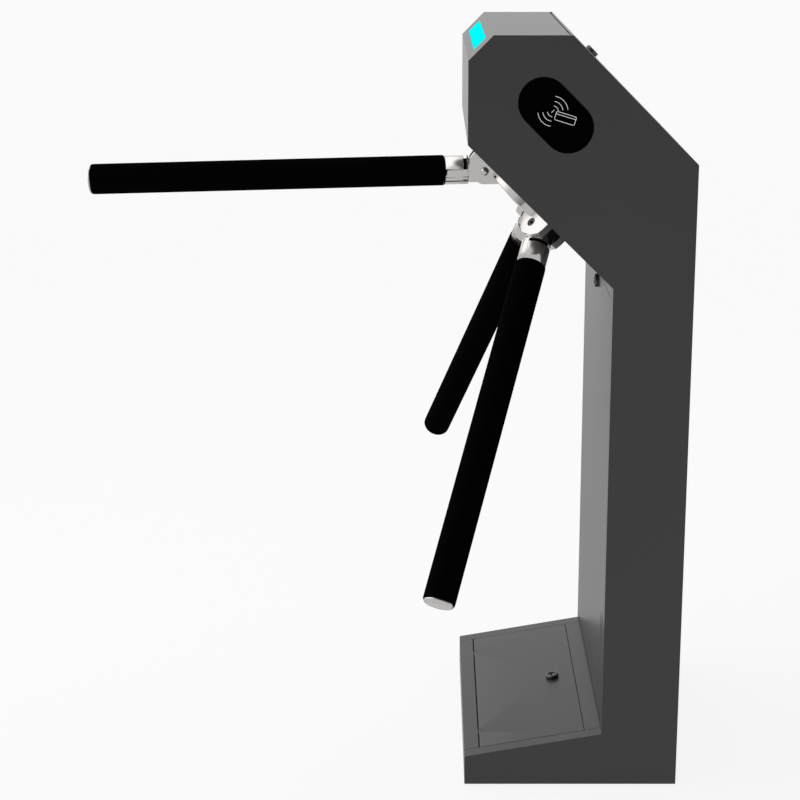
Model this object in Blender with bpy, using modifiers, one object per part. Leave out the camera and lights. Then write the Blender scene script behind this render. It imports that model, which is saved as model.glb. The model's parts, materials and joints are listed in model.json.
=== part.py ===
"""A tripod turnstile that counts visitors, as an assembly of separate parts.

Frame: the origin is the middle of the base on the floor, +Z is up, the arms
reach out towards -X and visitors walk along Y. Every length is in metres.
"""

from math import acos, atan2, cos, degrees, hypot, pi, radians, sin, tan

import bmesh
import bpy
from mathutils import Matrix, Vector

# Driving dimensions of the housing
WIDTH = 0.400
FRONT = -0.140
BACK = 0.140
HEIGHT = 0.980
SHEET = 0.002
GAP = 0.0003
COLUMN_FRONT = 0.040
FLANGE = 0.018

# Side outline of the housing as (x, z), from the toe of the foot round to the back
TOE = (FRONT, 0.040)
HEEL = (COLUMN_FRONT, 0.072)
THROAT = (COLUMN_FRONT, 0.672)
CHIN = (FRONT, 0.849)
BROW = (FRONT, 0.950)
CROWN_FRONT = (FRONT + 0.030, HEIGHT)
CROWN_BACK = (-0.015, HEIGHT)
SHOULDER = (BACK, HEIGHT + CROWN_BACK[0] - BACK)

# Tripod: three arms on a cone round the axis that stands square on the hub face
ARM_CONE = radians(44.0)
APEX_DEPTH = 0.0455
PIN_ALONG = 0.0966
ARM_END = 0.618
SLEEVE_START = 0.1495
SLEEVE_RADIUS = 0.020
SPIGOT_RADIUS = 0.019
TUBE_RADIUS = 0.0155
LUG_RADIUS = 0.017
LUG_SHOULDER = [(0.0845, 0.0345), (0.0925, 0.0262), (0.0938, 0.0185), (0.0938, 0.0020), (0.0480, 0.0020)]
TONGUE_HALF = 0.0095
CHEEK_INNER = 0.010
CHEEK_OUTER = 0.0205
CHEEK_ROOT = 0.012
CHANNEL_FLOOR = 0.007
CHANNEL_START = 0.046
DISC_TOP = 0.021
DISC_RADIUS = 0.0600
BOSS_RADIUS = 0.034
BOSS_TOP = 0.0245
SHOULDER_START = 0.0212
TONGUE_TIP = 0.0155
PIN_HOLE = 0.0043

# Mechanism depths behind the hub face, measured along the shaft
PLATE_FRONT = -0.0025
PLATE_BACK = -0.0165
WHEEL_FRONT = -0.026
WHEEL_BACK = -0.034
CAM_FRONT = -0.044
CAM_BACK = -0.054
ENCODER_FRONT = -0.0620
ENCODER_BACK = -0.0635
GEAR_FRONT = -0.074
GEAR_BACK = -0.082
REAR_FRONT = -0.090
REAR_BACK = -0.100
SHAFT_RADIUS = 0.0147
SHAFT_END = -0.108
FRONT_SEAT = 0.0263
REAR_SEAT = 0.0213
PILLAR_RADIUS = 0.0055
PILLARS_X = (-0.054, 0.054)
PILLARS_Y = (-0.077, 0.081)
POST_RADIUS = 0.0040
PAWL_PIVOT = (0.0450, -0.0600)
DETENT_PIVOT = (-0.0480, 0.0660)
PLUNGER_LEVER = 0.030
PLUNGER_RADIUS = 0.0040

GEAR_MODULE = 0.0015
GEAR_TEETH = 32
PINION_TEETH = 16
BACKLASH = 0.00035
DAMPER_DISTANCE = GEAR_MODULE * (GEAR_TEETH + PINION_TEETH) / 2
DAMPER_ANGLE = radians(150)
WHEEL_NOTCHES = 12
WHEEL_RADIUS = 0.045
CAM_LOBES = 3
CAM_TIP = 0.042
CAM_VALLEY = 0.033
ENCODER_SLOTS = 16
ENCODER_RADIUS = 0.034

# Covers and their locks
SEAM = 0.0009
HINGE_PIN = 0.0010
KNUCKLE_HALF = 0.006
SLOPE_BARREL = 0.004
SLOPE_KNUCKLE = 0.140
LID_BARREL = 0.0025
LID_KNUCKLE = 0.130
DOOR_BARREL = 0.0035
DOOR_KNUCKLE = 0.130
DOOR_HEADER = 0.017
FOOT_STRIP = 0.0195
FOOT_REAR = 0.0205
SILL = 0.0060
LOCK_HEAD_RADIUS = 0.009
LOCK_HEAD_HEIGHT = 0.0054
LOCK_BARREL_RADIUS = 0.007
LOCK_DEPTH = 0.0150
LOCK_CAM = 0.0024
SLOPE_LOCK_INSET = 0.0535
DOOR_LOCK_HEIGHT = 0.640
LID_LOCK_INSET = 0.031

# Card readers and status lamp
READER_CENTRE = (-0.0342, 0.8852)
READER_RADIUS = 0.0305
READER_STRAIGHT = 0.0424
READER_FLANGE = 0.004
READER_BACK = -0.005
LAMP_HALF_HEIGHT = 0.0100
LAMP_HALF_LENGTH = 0.1400
LAMPS = 12

# Base plate, floor anchors and cable gland
BASE_THICKNESS = 0.004
ANCHORS = [(-0.095, -0.140), (-0.095, 0.140), (0.098, -0.140), (0.098, 0.140)]
ANCHOR_HOLE = 0.0070
GLAND = (0.092, 0.060)
GLAND_HOLE = 0.0125

# Numbers of sides on round pieces

ROUND = 24
FINE = 36
SMALL = 16
COARSE = 12

LEFT = -1
RIGHT = 1

PARTS = "visitor_turnstile"
HELPERS = "cutters"


# ---------------------------------------------------------------- helpers


def clear_scene():
    for obj in list(bpy.data.objects):
        bpy.data.objects.remove(obj)


def collection(name):
    made = bpy.data.collections.new(name)
    bpy.context.scene.collection.children.link(made)
    return made


def material(name, colour, metallic, roughness, glow=0.0):
    made = bpy.data.materials.new(name)
    made.use_nodes = True
    shader = made.node_tree.nodes["Principled BSDF"]
    shader.inputs["Base Color"].default_value = (*colour, 1.0)
    shader.inputs["Metallic"].default_value = metallic
    shader.inputs["Roughness"].default_value = roughness
    if glow:
        shader.inputs["Emission Color"].default_value = (*colour, 1.0)
        shader.inputs["Emission Strength"].default_value = glow
    return made


def make_materials():
    return {
        "coat": material("grey_coat", (0.075, 0.075, 0.078), 0.2, 0.45),
        "zinc": material("zinc_steel", (0.55, 0.56, 0.58), 1.0, 0.45),
        "stainless": material("stainless", (0.72, 0.71, 0.70), 1.0, 0.22),
        "steel": material("machined_steel", (0.50, 0.50, 0.52), 1.0, 0.30),
        "brass": material("brass", (0.72, 0.52, 0.22), 1.0, 0.32),
        "lock": material("dark_nickel", (0.05, 0.05, 0.052), 1.0, 0.30),
        "black": material("black_sleeve", (0.008, 0.008, 0.008), 0.0, 0.70),
        "plastic": material("dark_plastic", (0.03, 0.03, 0.035), 0.0, 0.45),
        "glass": material("reader_glass", (0.004, 0.004, 0.004), 0.0, 0.06),
        "lamp": material("lamp_cyan", (0.0, 1.0, 1.0), 0.0, 0.30, glow=1.5),
        "board": material("circuit_board", (0.02, 0.16, 0.06), 0.0, 0.50),
        "coil": material("coil_wrap", (0.06, 0.07, 0.16), 0.0, 0.50),
    }


def put(obj, paint=None, parent=None, at=(0, 0, 0), turn=(0, 0, 0)):
    """Places an object, and makes it a part if it has a paint or a helper if it has none."""
    if paint:
        obj.data.materials.clear()
        obj.data.materials.append(paint)
        parts.objects.link(obj)
    else:
        obj.hide_render = True
        obj.display_type = "WIRE"
        helpers.objects.link(obj)
    obj.parent = parent
    obj.location = at
    obj.rotation_euler = turn
    return obj


def from_bmesh(name, built):
    mesh = bpy.data.meshes.new(name)
    built.to_mesh(mesh)
    built.free()
    return bpy.data.objects.new(name, mesh)


def empty(name, parent=None, at=(0, 0, 0), turn=(0, 0, 0)):
    made = bpy.data.objects.new(name, None)
    made.empty_display_size = 0.02
    parts.objects.link(made)
    made.parent = parent
    made.location = at
    made.rotation_euler = turn
    return made


def box(name, low, high, **where):
    """A box between two corners, in its parent's frame."""
    built = bmesh.new()
    middle = (Vector(low) + Vector(high)) / 2
    size = Vector(high) - Vector(low)
    bmesh.ops.create_cube(built, size=1, matrix=Matrix.Translation(middle) @ Matrix.Diagonal((*size, 1)))
    return put(from_bmesh(name, built), **where)


def rod(name, radius, start, end, sides=ROUND, **where):
    """A cylinder along its own Z between two heights."""
    built = bmesh.new()
    bmesh.ops.create_cone(
        built, cap_ends=True, segments=sides, radius1=radius, radius2=radius, depth=end - start,
        matrix=Matrix.Translation((0, 0, (start + end) / 2)),
    )
    return put(from_bmesh(name, built), **where)


def flat(name, outline, thickness, **where):
    """A flat outline in its own XY plane, thickened equally to both sides."""
    curve = bpy.data.curves.new(name, "CURVE")
    curve.dimensions = "2D"
    curve.fill_mode = "BOTH"
    curve.extrude = thickness / 2
    spline = curve.splines.new("POLY")
    spline.points.add(len(outline) - 1)
    for point, (x, y) in zip(spline.points, outline):
        point.co = (x, y, 0, 1)
    spline.use_cyclic_u = True
    guide = bpy.data.objects.new(name + "_outline", curve)
    bpy.context.scene.collection.objects.link(guide)
    mesh = bpy.data.meshes.new_from_object(guide.evaluated_get(bpy.context.evaluated_depsgraph_get()))
    bpy.data.objects.remove(guide)
    built = bmesh.new()
    built.from_mesh(mesh)
    bmesh.ops.remove_doubles(built, verts=built.verts, dist=1e-6)
    bmesh.ops.dissolve_limit(built, angle_limit=0.001, verts=built.verts, edges=built.edges)
    bmesh.ops.recalc_face_normals(built, faces=built.faces)
    bpy.data.meshes.remove(mesh)
    return put(from_bmesh(name, built), **where)


def turned(name, profile, sides=ROUND, **where):
    """A ring or solid turned round its own Z from a closed (radius, height) profile."""
    area = sum(a[0] * b[1] - b[0] * a[1] for a, b in zip(profile, profile[1:] + profile[:1]))
    if area > 0:
        profile = profile[::-1]
    mesh = bpy.data.meshes.new(name)
    edges = [(i, (i + 1) % len(profile)) for i in range(len(profile))]
    on_axis = [i for i, (radius, _) in enumerate(profile) if radius == 0]
    if on_axis:
        edges = [edge for edge in edges if not (edge[0] in on_axis and edge[1] in on_axis)]
    mesh.from_pydata([(radius, 0, height) for radius, height in profile], edges, [])
    obj = put(bpy.data.objects.new(name, mesh), **where)
    screw = obj.modifiers.new("turn", "SCREW")
    screw.steps = sides
    screw.render_steps = sides
    screw.use_merge_vertices = True
    screw.merge_threshold = 0.00001
    return obj


def bent(name, profile, low_y, high_y, inside, **where):
    """A folded sheet: an open (x, z) profile drawn out along Y, thickened to its LEFT or RIGHT."""
    built = bmesh.new()
    ends = [built.verts.new((x, low_y, z)) for x, z in profile]
    edges = [built.edges.new(pair) for pair in zip(ends, ends[1:])]
    drawn = bmesh.ops.extrude_edge_only(built, edges=edges)
    moved = [item for item in drawn["geom"] if isinstance(item, bmesh.types.BMVert)]
    bmesh.ops.translate(built, verts=moved, vec=(0, high_y - low_y, 0))
    obj = put(from_bmesh(name, built), **where)
    thicken(obj, inside)
    return obj


def thicken(obj, side):
    shell = obj.modifiers.new("sheet", "SOLIDIFY")
    shell.solidify_mode = "NON_MANIFOLD"
    shell.nonmanifold_thickness_mode = "CONSTRAINTS"
    shell.thickness = SHEET
    shell.offset = side


def boolean(target, other, operation):
    change = target.modifiers.new(operation.lower(), "BOOLEAN")
    change.operation = operation
    change.object = other
    return target


def join(target, *others):
    for other in others:
        boolean(target, other, "UNION")
    return target


def cut(target, *others):
    for other in others:
        boolean(target, other, "DIFFERENCE")
    return target


def shade_round_pieces():
    for obj in parts.objects:
        if obj.type == "MESH":
            obj.data.shade_smooth()
            obj.data.set_sharp_from_angle(angle=radians(35))


def arc(centre, radius, start, end, steps):
    """Points on an arc, the angles in degrees."""
    points = []
    for i in range(steps + 1):
        angle = radians(start + (end - start) * i / steps)
        points.append((centre[0] + radius * cos(angle), centre[1] + radius * sin(angle)))
    return points


# ------------------------------------------------------- derived geometry

FACE_LENGTH = hypot(THROAT[0] - CHIN[0], THROAT[1] - CHIN[1])
FACE_ALONG = Vector((THROAT[0] - CHIN[0], 0, THROAT[1] - CHIN[1])) / FACE_LENGTH
FACE_OUT = Vector((FACE_ALONG.z, 0, -FACE_ALONG.x))
FACE_TURN = atan2(FACE_OUT.x, FACE_OUT.z)
FACE_CENTRE = Vector((CHIN[0], 0, CHIN[1])) + FACE_ALONG * (FACE_LENGTH / 2 + SEAM)

PIN_RADIAL = PIN_ALONG * sin(ARM_CONE)
PIN_OUT = PIN_ALONG * cos(ARM_CONE) - APEX_DEPTH

HALF = WIDTH / 2
INNER = HALF - SHEET - GAP
LEDGE = HALF - FLANGE - SHEET - GAP
FOOT_TILT = atan2(HEEL[1] - TOE[1], HEEL[0] - TOE[0])
FOOT_LENGTH = hypot(HEEL[0] - TOE[0], HEEL[1] - TOE[1])
ARM_PHASES = {"front": 0.0, "near": -120.0, "far": 120.0}


def foot_top(along, below=0.0):
    """A point (x, z) on the foot's sloping top, a distance from the toe and below the surface."""
    x = TOE[0] + along * cos(FOOT_TILT) + below * sin(FOOT_TILT)
    z = TOE[1] + along * sin(FOOT_TILT) - below * cos(FOOT_TILT)
    return x, z


# ---------------------------------------------------------------- housing


def side_panel(name, side):
    """A full side of the housing, with flanges folded in along the foot's top and the column."""
    outline = [(FRONT, 0), TOE, HEEL, THROAT, CHIN, BROW, CROWN_FRONT, CROWN_BACK, SHOULDER, (BACK, 0)]
    built = bmesh.new()
    corners = [built.verts.new((x, side * HALF, z)) for x, z in outline]
    face = built.faces.new(corners)
    folds = [built.edges.get((corners[1], corners[2])), built.edges.get((corners[2], corners[3]))]
    drawn = bmesh.ops.extrude_edge_only(built, edges=folds)
    moved = [item for item in drawn["geom"] if isinstance(item, bmesh.types.BMVert)]
    bmesh.ops.translate(built, verts=moved, vec=(0, -side * (FLANGE + SHEET), 0))
    bmesh.ops.recalc_face_normals(built, faces=built.faces)
    face.normal_update()
    if face.normal.y * side < 0:
        bmesh.ops.reverse_faces(built, faces=built.faces)
    panel = put(from_bmesh(name, built), paint=paints["coat"])
    thicken(panel, -1)
    cut(panel, reader_shape(name + "_window_hole", side, READER_RADIUS + GAP, -0.004, 0.004))
    return panel


def reader_shape(name, side, radius, inner, outer, paint=None):
    """A stadium with its long axis down the 45 degree slope, standing across the side panel."""
    half = READER_STRAIGHT / 2
    outline = arc((0, half), radius, 0, 180, 14) + arc((0, -half), radius, 180, 360, 14)
    at = (READER_CENTRE[0], side * (HALF + (inner + outer) / 2), READER_CENTRE[1])
    return flat(name, outline, outer - inner, paint=paint, at=at, turn=(pi / 2, radians(-45), 0))


def reader_window(name, side):
    """The card reader's window: a plate flush in the panel with a wider flange behind the sheet."""
    window = reader_shape(name, side, READER_RADIUS, READER_BACK, 0.0006, paint=paints["glass"])
    back = reader_shape(name + "_flange", side, READER_RADIUS + READER_FLANGE, READER_BACK, -SHEET - GAP)
    join(window, back)
    return window


def reader_board(name, side):
    """The reader's antenna board behind its window, with a shield can on it."""
    frame = empty(name + "_place", at=(READER_CENTRE[0], side * (HALF - 0.0095), READER_CENTRE[1]),
                  turn=(pi / 2, radians(-45), 0))
    board = box(name, (-0.027, -0.045, -0.0008), (0.027, 0.045, 0.0008), paint=paints["board"], parent=frame)
    low, high = sorted((side * 0.0006, side * 0.0052))
    join(board, box(name + "_shield", (-0.012, -0.030, low), (0.014, -0.004, high), parent=frame))
    low, high = sorted((side * 0.0006, side * 0.0072))
    join(board, box(name + "_plug", (-0.010, 0.024, low), (0.010, 0.034, high), parent=frame))
    return board


def head_shell():
    """Front face, lamp chamfer and top of the head, with a lip that runs under the slope cover."""
    drop = (SHEET + SEAM) * 2 ** 0.5
    lip_start = CROWN_BACK[0] - drop
    lip_run = 0.024
    profile = [CHIN, BROW, CROWN_FRONT, (lip_start, HEIGHT), (lip_start + lip_run, HEIGHT - lip_run)]
    shell = bent("head_shell", profile, -INNER, INNER, RIGHT, paint=paints["coat"])
    cut(shell, lamp_block("lamp_hole", LAMP_HALF_HEIGHT + GAP, LAMP_HALF_LENGTH + GAP, -0.006, 0.006))
    return shell


def lamp_block(name, half_height, half_width, inner, outer, paint=None):
    """A bar along the middle of the head's front chamfer."""
    middle = ((BROW[0] + CROWN_FRONT[0]) / 2, 0, (BROW[1] + CROWN_FRONT[1]) / 2)
    low = (inner, -half_width, -half_height)
    high = (outer, half_width, half_height)
    return box(name, low, high, paint=paint, at=middle, turn=(0, radians(-135), 0))


def lamp():
    """The lamp window with its flange behind the sheet, and the strip of lamps behind that."""
    back = -0.0045
    window = lamp_block("lamp_window", LAMP_HALF_HEIGHT, LAMP_HALF_LENGTH, back, 0.0002, paint=paints["lamp"])
    flange = lamp_block("lamp_flange", LAMP_HALF_HEIGHT + 0.003, LAMP_HALF_LENGTH + 0.004, back, -SHEET - GAP)
    join(window, flange)
    strip = lamp_block("lamp_board", LAMP_HALF_HEIGHT - 0.002, LAMP_HALF_LENGTH - 0.002, -0.0105, -0.0090,
                       paint=paints["board"])
    frame = empty("lamp_place", at=strip.location, turn=strip.rotation_euler)
    end = LAMP_HALF_LENGTH * 0.9
    chip = 0.0025
    for i in range(LAMPS):
        y = end * (2 * i / (LAMPS - 1) - 1)
        low = (-0.0092, y - chip, -chip)
        high = (-0.0076, y + chip, chip)
        join(strip, box(f"lamp_chip_{i}", low, high, parent=frame))


def hub_face_plate():
    """The sloping underside of the head, folded down at the column as the door's header."""
    profile = [CHIN, THROAT, (THROAT[0], THROAT[1] - DOOR_HEADER)]
    plate = bent("hub_face_plate", profile, -INNER, INNER, LEFT, paint=paints["coat"])
    cut(plate, box("chin_trim", (FRONT - 0.01, -HALF, 0.80), (FRONT + SHEET + GAP, HALF, 0.90)))
    for side in (-1, 1):
        low, high = sorted((side * LEDGE, side * (HALF + 0.01)))
        cut(plate, box(f"throat_trim_{side + 1}", (THROAT[0] - GAP, low, 0.60),
                       (THROAT[0] + 0.02, high, 0.70)))
    cut(plate, rod("shaft_hole", 0.0195, -0.02, 0.02, parent=hub_frame))
    return plate


def back_panel():
    """The upright back sheet, with two knuckles for the slope cover at its top."""
    axis = slope_axis()
    panel = box("back_panel", (BACK - SHEET, -INNER, 0), (BACK, INNER, axis[1] - SLOPE_BARREL - GAP),
                paint=paints["coat"])
    web = ((0.0012, -0.014), (BACK - 0.0002 - axis[0], 0))
    add_knuckles(panel, axis, SLOPE_BARREL, SLOPE_KNUCKLE, web)


def add_knuckles(sheet, axis, barrel, offset, web, tilt=0.0):
    """Two fixed hinge knuckles round an axis (x, z), each on a web given as two (x, z) corners from it."""
    name = sheet.name
    at = (axis[0], 0, axis[1])
    (low_x, low_z), (high_x, high_z) = web
    for side in (-1, 1):
        start = side * offset - KNUCKLE_HALF
        end = side * offset + KNUCKLE_HALF
        root = box(f"{name}_web_{side + 1}", (low_x, start, low_z), (high_x, end, high_z), at=at,
                   turn=(0, -tilt, 0))
        knuckle = rod(f"{name}_knuckle_{side + 1}", barrel, start, end, COARSE, at=at, turn=(-pi / 2, 0, 0))
        join(sheet, root, knuckle)
    cut(sheet, rod(name + "_hinge_bore", HINGE_PIN + 2 * GAP, -HALF, HALF, COARSE, at=at,
                   turn=(-pi / 2, 0, 0)))


def hinge_pin(name, axis, half_length):
    return rod(name, HINGE_PIN, -half_length, half_length, COARSE, paint=paints["steel"],
               at=(axis[0], 0, axis[1]), turn=(-pi / 2, 0, 0))


def foot_front_rail():
    """The foot's front wall, folded back as the front strip of its top, with two lid knuckles."""
    strip_end = foot_top(FOOT_STRIP)
    rail = bent("foot_front_rail", [(FRONT, 0), TOE, strip_end], -INNER, INNER, RIGHT, paint=paints["coat"])
    for side in (-1, 1):
        low, high = sorted((side * LEDGE, side * (HALF + 0.01)))
        cut(rail, box(f"toe_trim_{side + 1}", (FRONT - 0.01, low, TOE[1] - SHEET - 2 * GAP),
                      (FRONT + 0.03, high, 0.06)))
    add_knuckles(rail, lid_axis(), LID_BARREL, LID_KNUCKLE, ((-0.010, -0.0015), (0, 0.0012)), FOOT_TILT)


def foot_rear_strip():
    """The strip behind the foot's lid, folded up as the sill that carries the column door."""
    start = foot_top(FOOT_LENGTH - FOOT_REAR)
    profile = [start, HEEL, (HEEL[0], HEEL[1] + SILL)]
    strip = bent("foot_rear_strip", profile, -LEDGE, LEDGE, RIGHT, paint=paints["coat"])
    axis = door_axis()
    web = ((-0.0025, HEEL[1] - 0.002 - axis[1]), (0.0020, 0))
    add_knuckles(strip, axis, DOOR_BARREL, DOOR_KNUCKLE, web)


def base():
    """The base plate with its anchor holes and cable entry, the anchors and the gland."""
    inside_front = FRONT + SHEET + GAP
    inside_back = BACK - SHEET - GAP
    plate = box("base_plate", (inside_front, -INNER, 0), (inside_back, INNER, BASE_THICKNESS),
                paint=paints["zinc"])
    for number, (x, y) in enumerate(ANCHORS, 1):
        cut(plate, rod(f"anchor_hole_{number}", ANCHOR_HOLE, -0.01, 0.02, COARSE, at=(x, y, 0)))
        anchor(f"anchor_bolt_{number}", x, y)
    cut(plate, rod("cable_hole", GLAND_HOLE, -0.01, 0.02, COARSE, at=(*GLAND, 0)))
    gland()


def anchor(name, x, y):
    """A floor anchor as it shows above the floor: shank, washer and hexagon head."""
    seat = BASE_THICKNESS + GAP
    shank = rod(name, 0.0060, GAP, seat + 0.004, COARSE, paint=paints["zinc"], at=(x, y, 0))
    washer = rod(name + "_washer", 0.0120, seat, seat + 0.0025, ROUND, at=(x, y, 0))
    head = rod(name + "_head", 0.0104, seat + 0.0020, seat + 0.0100, 6, at=(x, y, 0))
    join(shank, washer, head)


def gland():
    """A cable gland through the base plate: thread, flange and domed clamping nut."""
    seat = BASE_THICKNESS + GAP
    profile = [
        (0.0075, 0.0006), (0.0075, seat + 0.022), (0.0105, seat + 0.022), (0.0135, seat + 0.017),
        (0.0150, seat + 0.006), (0.0165, seat + 0.006), (0.0165, seat), (0.0120, seat), (0.0120, 0.0006),
    ]
    turned("cable_gland", profile, SMALL, paint=paints["plastic"], at=(*GLAND, 0))


# ----------------------------------------------------------------- covers


def slope_axis():
    """The slope cover's hinge axis, as far inside the slope as inside the back."""
    x = BACK - SLOPE_BARREL
    return x, SHOULDER[0] + SHOULDER[1] - SLOPE_BARREL * 2 ** 0.5 - x


def lid_axis():
    """The foot lid's hinge axis, just behind the front strip and tangent to the foot's top."""
    return foot_top(FOOT_STRIP + SEAM + LID_BARREL, LID_BARREL)


def door_axis():
    """The column door's hinge axis, above the sill and tangent to the column's front."""
    return COLUMN_FRONT + DOOR_BARREL, HEEL[1] + SILL + 0.0008 + DOOR_BARREL


def hinged_sheet(name, axis, turn, length, barrel, half_width, knuckle_at, pin_half):
    """A flat cover that runs from its hinge barrel along its own X, its outer side facing its own +Z."""
    frame = empty(name + "_axis", at=(axis[0], 0, axis[1]), turn=turn)
    sheet = box(name, (0, -half_width, barrel - SHEET), (length, half_width, barrel), paint=paints["coat"],
                parent=frame)
    across = {"parent": frame, "turn": (-pi / 2, 0, 0)}
    join(sheet, rod(name + "_barrel", barrel, -half_width, half_width, COARSE, **across))
    for side in (-1, 1):
        middle = side * knuckle_at
        cut(sheet, rod(f"{name}_notch_{side + 1}", barrel + GAP, middle - KNUCKLE_HALF - GAP,
                       middle + KNUCKLE_HALF + GAP, ROUND, **across))
    cut(sheet, rod(name + "_bore", HINGE_PIN + 2 * GAP, -HALF, HALF, COARSE, **across))
    hinge_pin(name + "_pin", axis, pin_half)
    return frame, sheet


def cover_lock(name, sheet, frame, along, barrel, reach):
    """A quarter-turn cam lock, drawn open: a key head outside, a barrel through the sheet, a cam inside."""
    place = empty(name + "_axis", parent=frame, at=(along, 0, barrel), turn=(0, 0, pi / 2))
    cut(sheet, rod(name + "_hole", LOCK_BARREL_RADIUS + GAP, -0.01, 0.01, ROUND, parent=place))
    head_edge = 0.0008
    profile = [
        (0, LOCK_HEAD_HEIGHT), (0, -LOCK_DEPTH), (LOCK_BARREL_RADIUS, -LOCK_DEPTH), (LOCK_BARREL_RADIUS, GAP),
        (LOCK_HEAD_RADIUS, GAP), (LOCK_HEAD_RADIUS, LOCK_HEAD_HEIGHT - head_edge),
        (LOCK_HEAD_RADIUS - head_edge, LOCK_HEAD_HEIGHT),
    ]
    lock = turned(name, profile, SMALL, paint=paints["lock"], parent=place)
    cam_outline = arc((0, 0), 0.0085, 90, 270, 10) + arc((reach, 0), 0.0050, -90, 90, 6)
    cam_at = (0, 0, LOCK_CAM / 3 - LOCK_DEPTH)
    cam = flat(name + "_cam", cam_outline, LOCK_CAM, parent=place, at=cam_at)
    slot = box(name + "_keyway", (-0.0032, -0.0006, LOCK_HEAD_HEIGHT - 0.0025), (0.0032, 0.0006, 0.01),
               parent=place)
    join(lock, cam)
    cut(lock, slot)
    return lock


def slope_cover():
    axis = slope_axis()
    corner = Vector((CROWN_BACK[0] - axis[0], CROWN_BACK[1] - axis[1]))
    length = corner.dot(Vector((-1, 1)).normalized())
    frame, sheet = hinged_sheet("slope_cover", axis, (pi, radians(-135), 0), length, SLOPE_BARREL, INNER,
                                SLOPE_KNUCKLE, INNER - 0.001)
    cover_lock("slope_cover_lock", sheet, frame, length - SLOPE_LOCK_INSET, SLOPE_BARREL, 0.026)


def column_door():
    axis = door_axis()
    length = THROAT[1] - DOOR_HEADER - SEAM - axis[1]
    frame, sheet = hinged_sheet("column_door", axis, (0, radians(-90), 0), length, DOOR_BARREL, LEDGE - GAP,
                                DOOR_KNUCKLE, LEDGE - 0.004)
    cover_lock("column_door_lock", sheet, frame, DOOR_LOCK_HEIGHT - axis[1], DOOR_BARREL, 0.016)


def foot_lid():
    axis = lid_axis()
    length = FOOT_LENGTH - FOOT_REAR - FOOT_STRIP - 2 * SEAM - LID_BARREL
    frame, sheet = hinged_sheet("foot_lid", axis, (0, -FOOT_TILT, 0), length, LID_BARREL, LEDGE - GAP,
                                LID_KNUCKLE, LEDGE - 0.004)
    cover_lock("foot_lid_lock", sheet, frame, length - LID_LOCK_INSET, LID_BARREL, 0.038)


# ----------------------------------------------------------------- tripod


def hub_head():
    """The tripod head: a thick round base with a low boss, and three forks that the arms' tongues turn in."""
    profile = [
        (0, 0.0012), (DISC_RADIUS - 0.001, 0.0012), (DISC_RADIUS, 0.0022), (DISC_RADIUS, DISC_TOP - 0.001),
        (DISC_RADIUS - 0.001, DISC_TOP), (BOSS_RADIUS, DISC_TOP), (BOSS_RADIUS - 0.001, BOSS_TOP - 0.0010),
        (BOSS_RADIUS - 0.004, BOSS_TOP), (0, BOSS_TOP),
    ]
    head = turned("hub_head", profile, FINE, paint=paints["stainless"], parent=hub_frame)
    for name, phase in ARM_PHASES.items():
        phase = radians(phase)
        for side in (-1, 1):
            join(head, cheek(f"{name}_cheek_{side + 1}", phase, side))
        cut(head, box(f"{name}_channel", (CHANNEL_START, -CHEEK_INNER, CHANNEL_FLOOR),
                      (0.12, CHEEK_INNER, 0.06), parent=hub_frame, turn=(0, 0, phase)))
    for name, phase in ARM_PHASES.items():
        frame = arm_frames[name]
        across = {"parent": frame, "turn": (-pi / 2, 0, 0)}
        cut(head, rod(f"{name}_pin_bore", PIN_HOLE, -0.03, 0.03, COARSE, **across))
        cut(head, rod(f"{name}_counterbore", 0.0060, CHEEK_OUTER - 0.005, 0.04, ROUND, **across))
        cut(head, rod(f"{name}_spotface", 0.0080, -0.04, -CHEEK_OUTER, ROUND, **across))
    return head


def cheek(name, phase, side):
    """One side of a fork: rounded about the arm's pin, squared off outwards, rooted in the base."""
    crown = arc((PIN_RADIAL, PIN_OUT), LUG_RADIUS, degrees(pi - ARM_CONE), 70, 8)
    back = (crown[0][1] - CHEEK_ROOT) / cos(ARM_CONE)
    inner_root = (crown[0][0] - back * sin(ARM_CONE), CHEEK_ROOT)
    outline = [inner_root] + crown + LUG_SHOULDER
    middle = side * (CHEEK_INNER + CHEEK_OUTER) / 2
    at = (-middle * sin(phase), middle * cos(phase), 0)
    return flat(name, outline, CHEEK_OUTER - CHEEK_INNER, parent=hub_frame, at=at, turn=(pi / 2, 0, phase))


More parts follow.
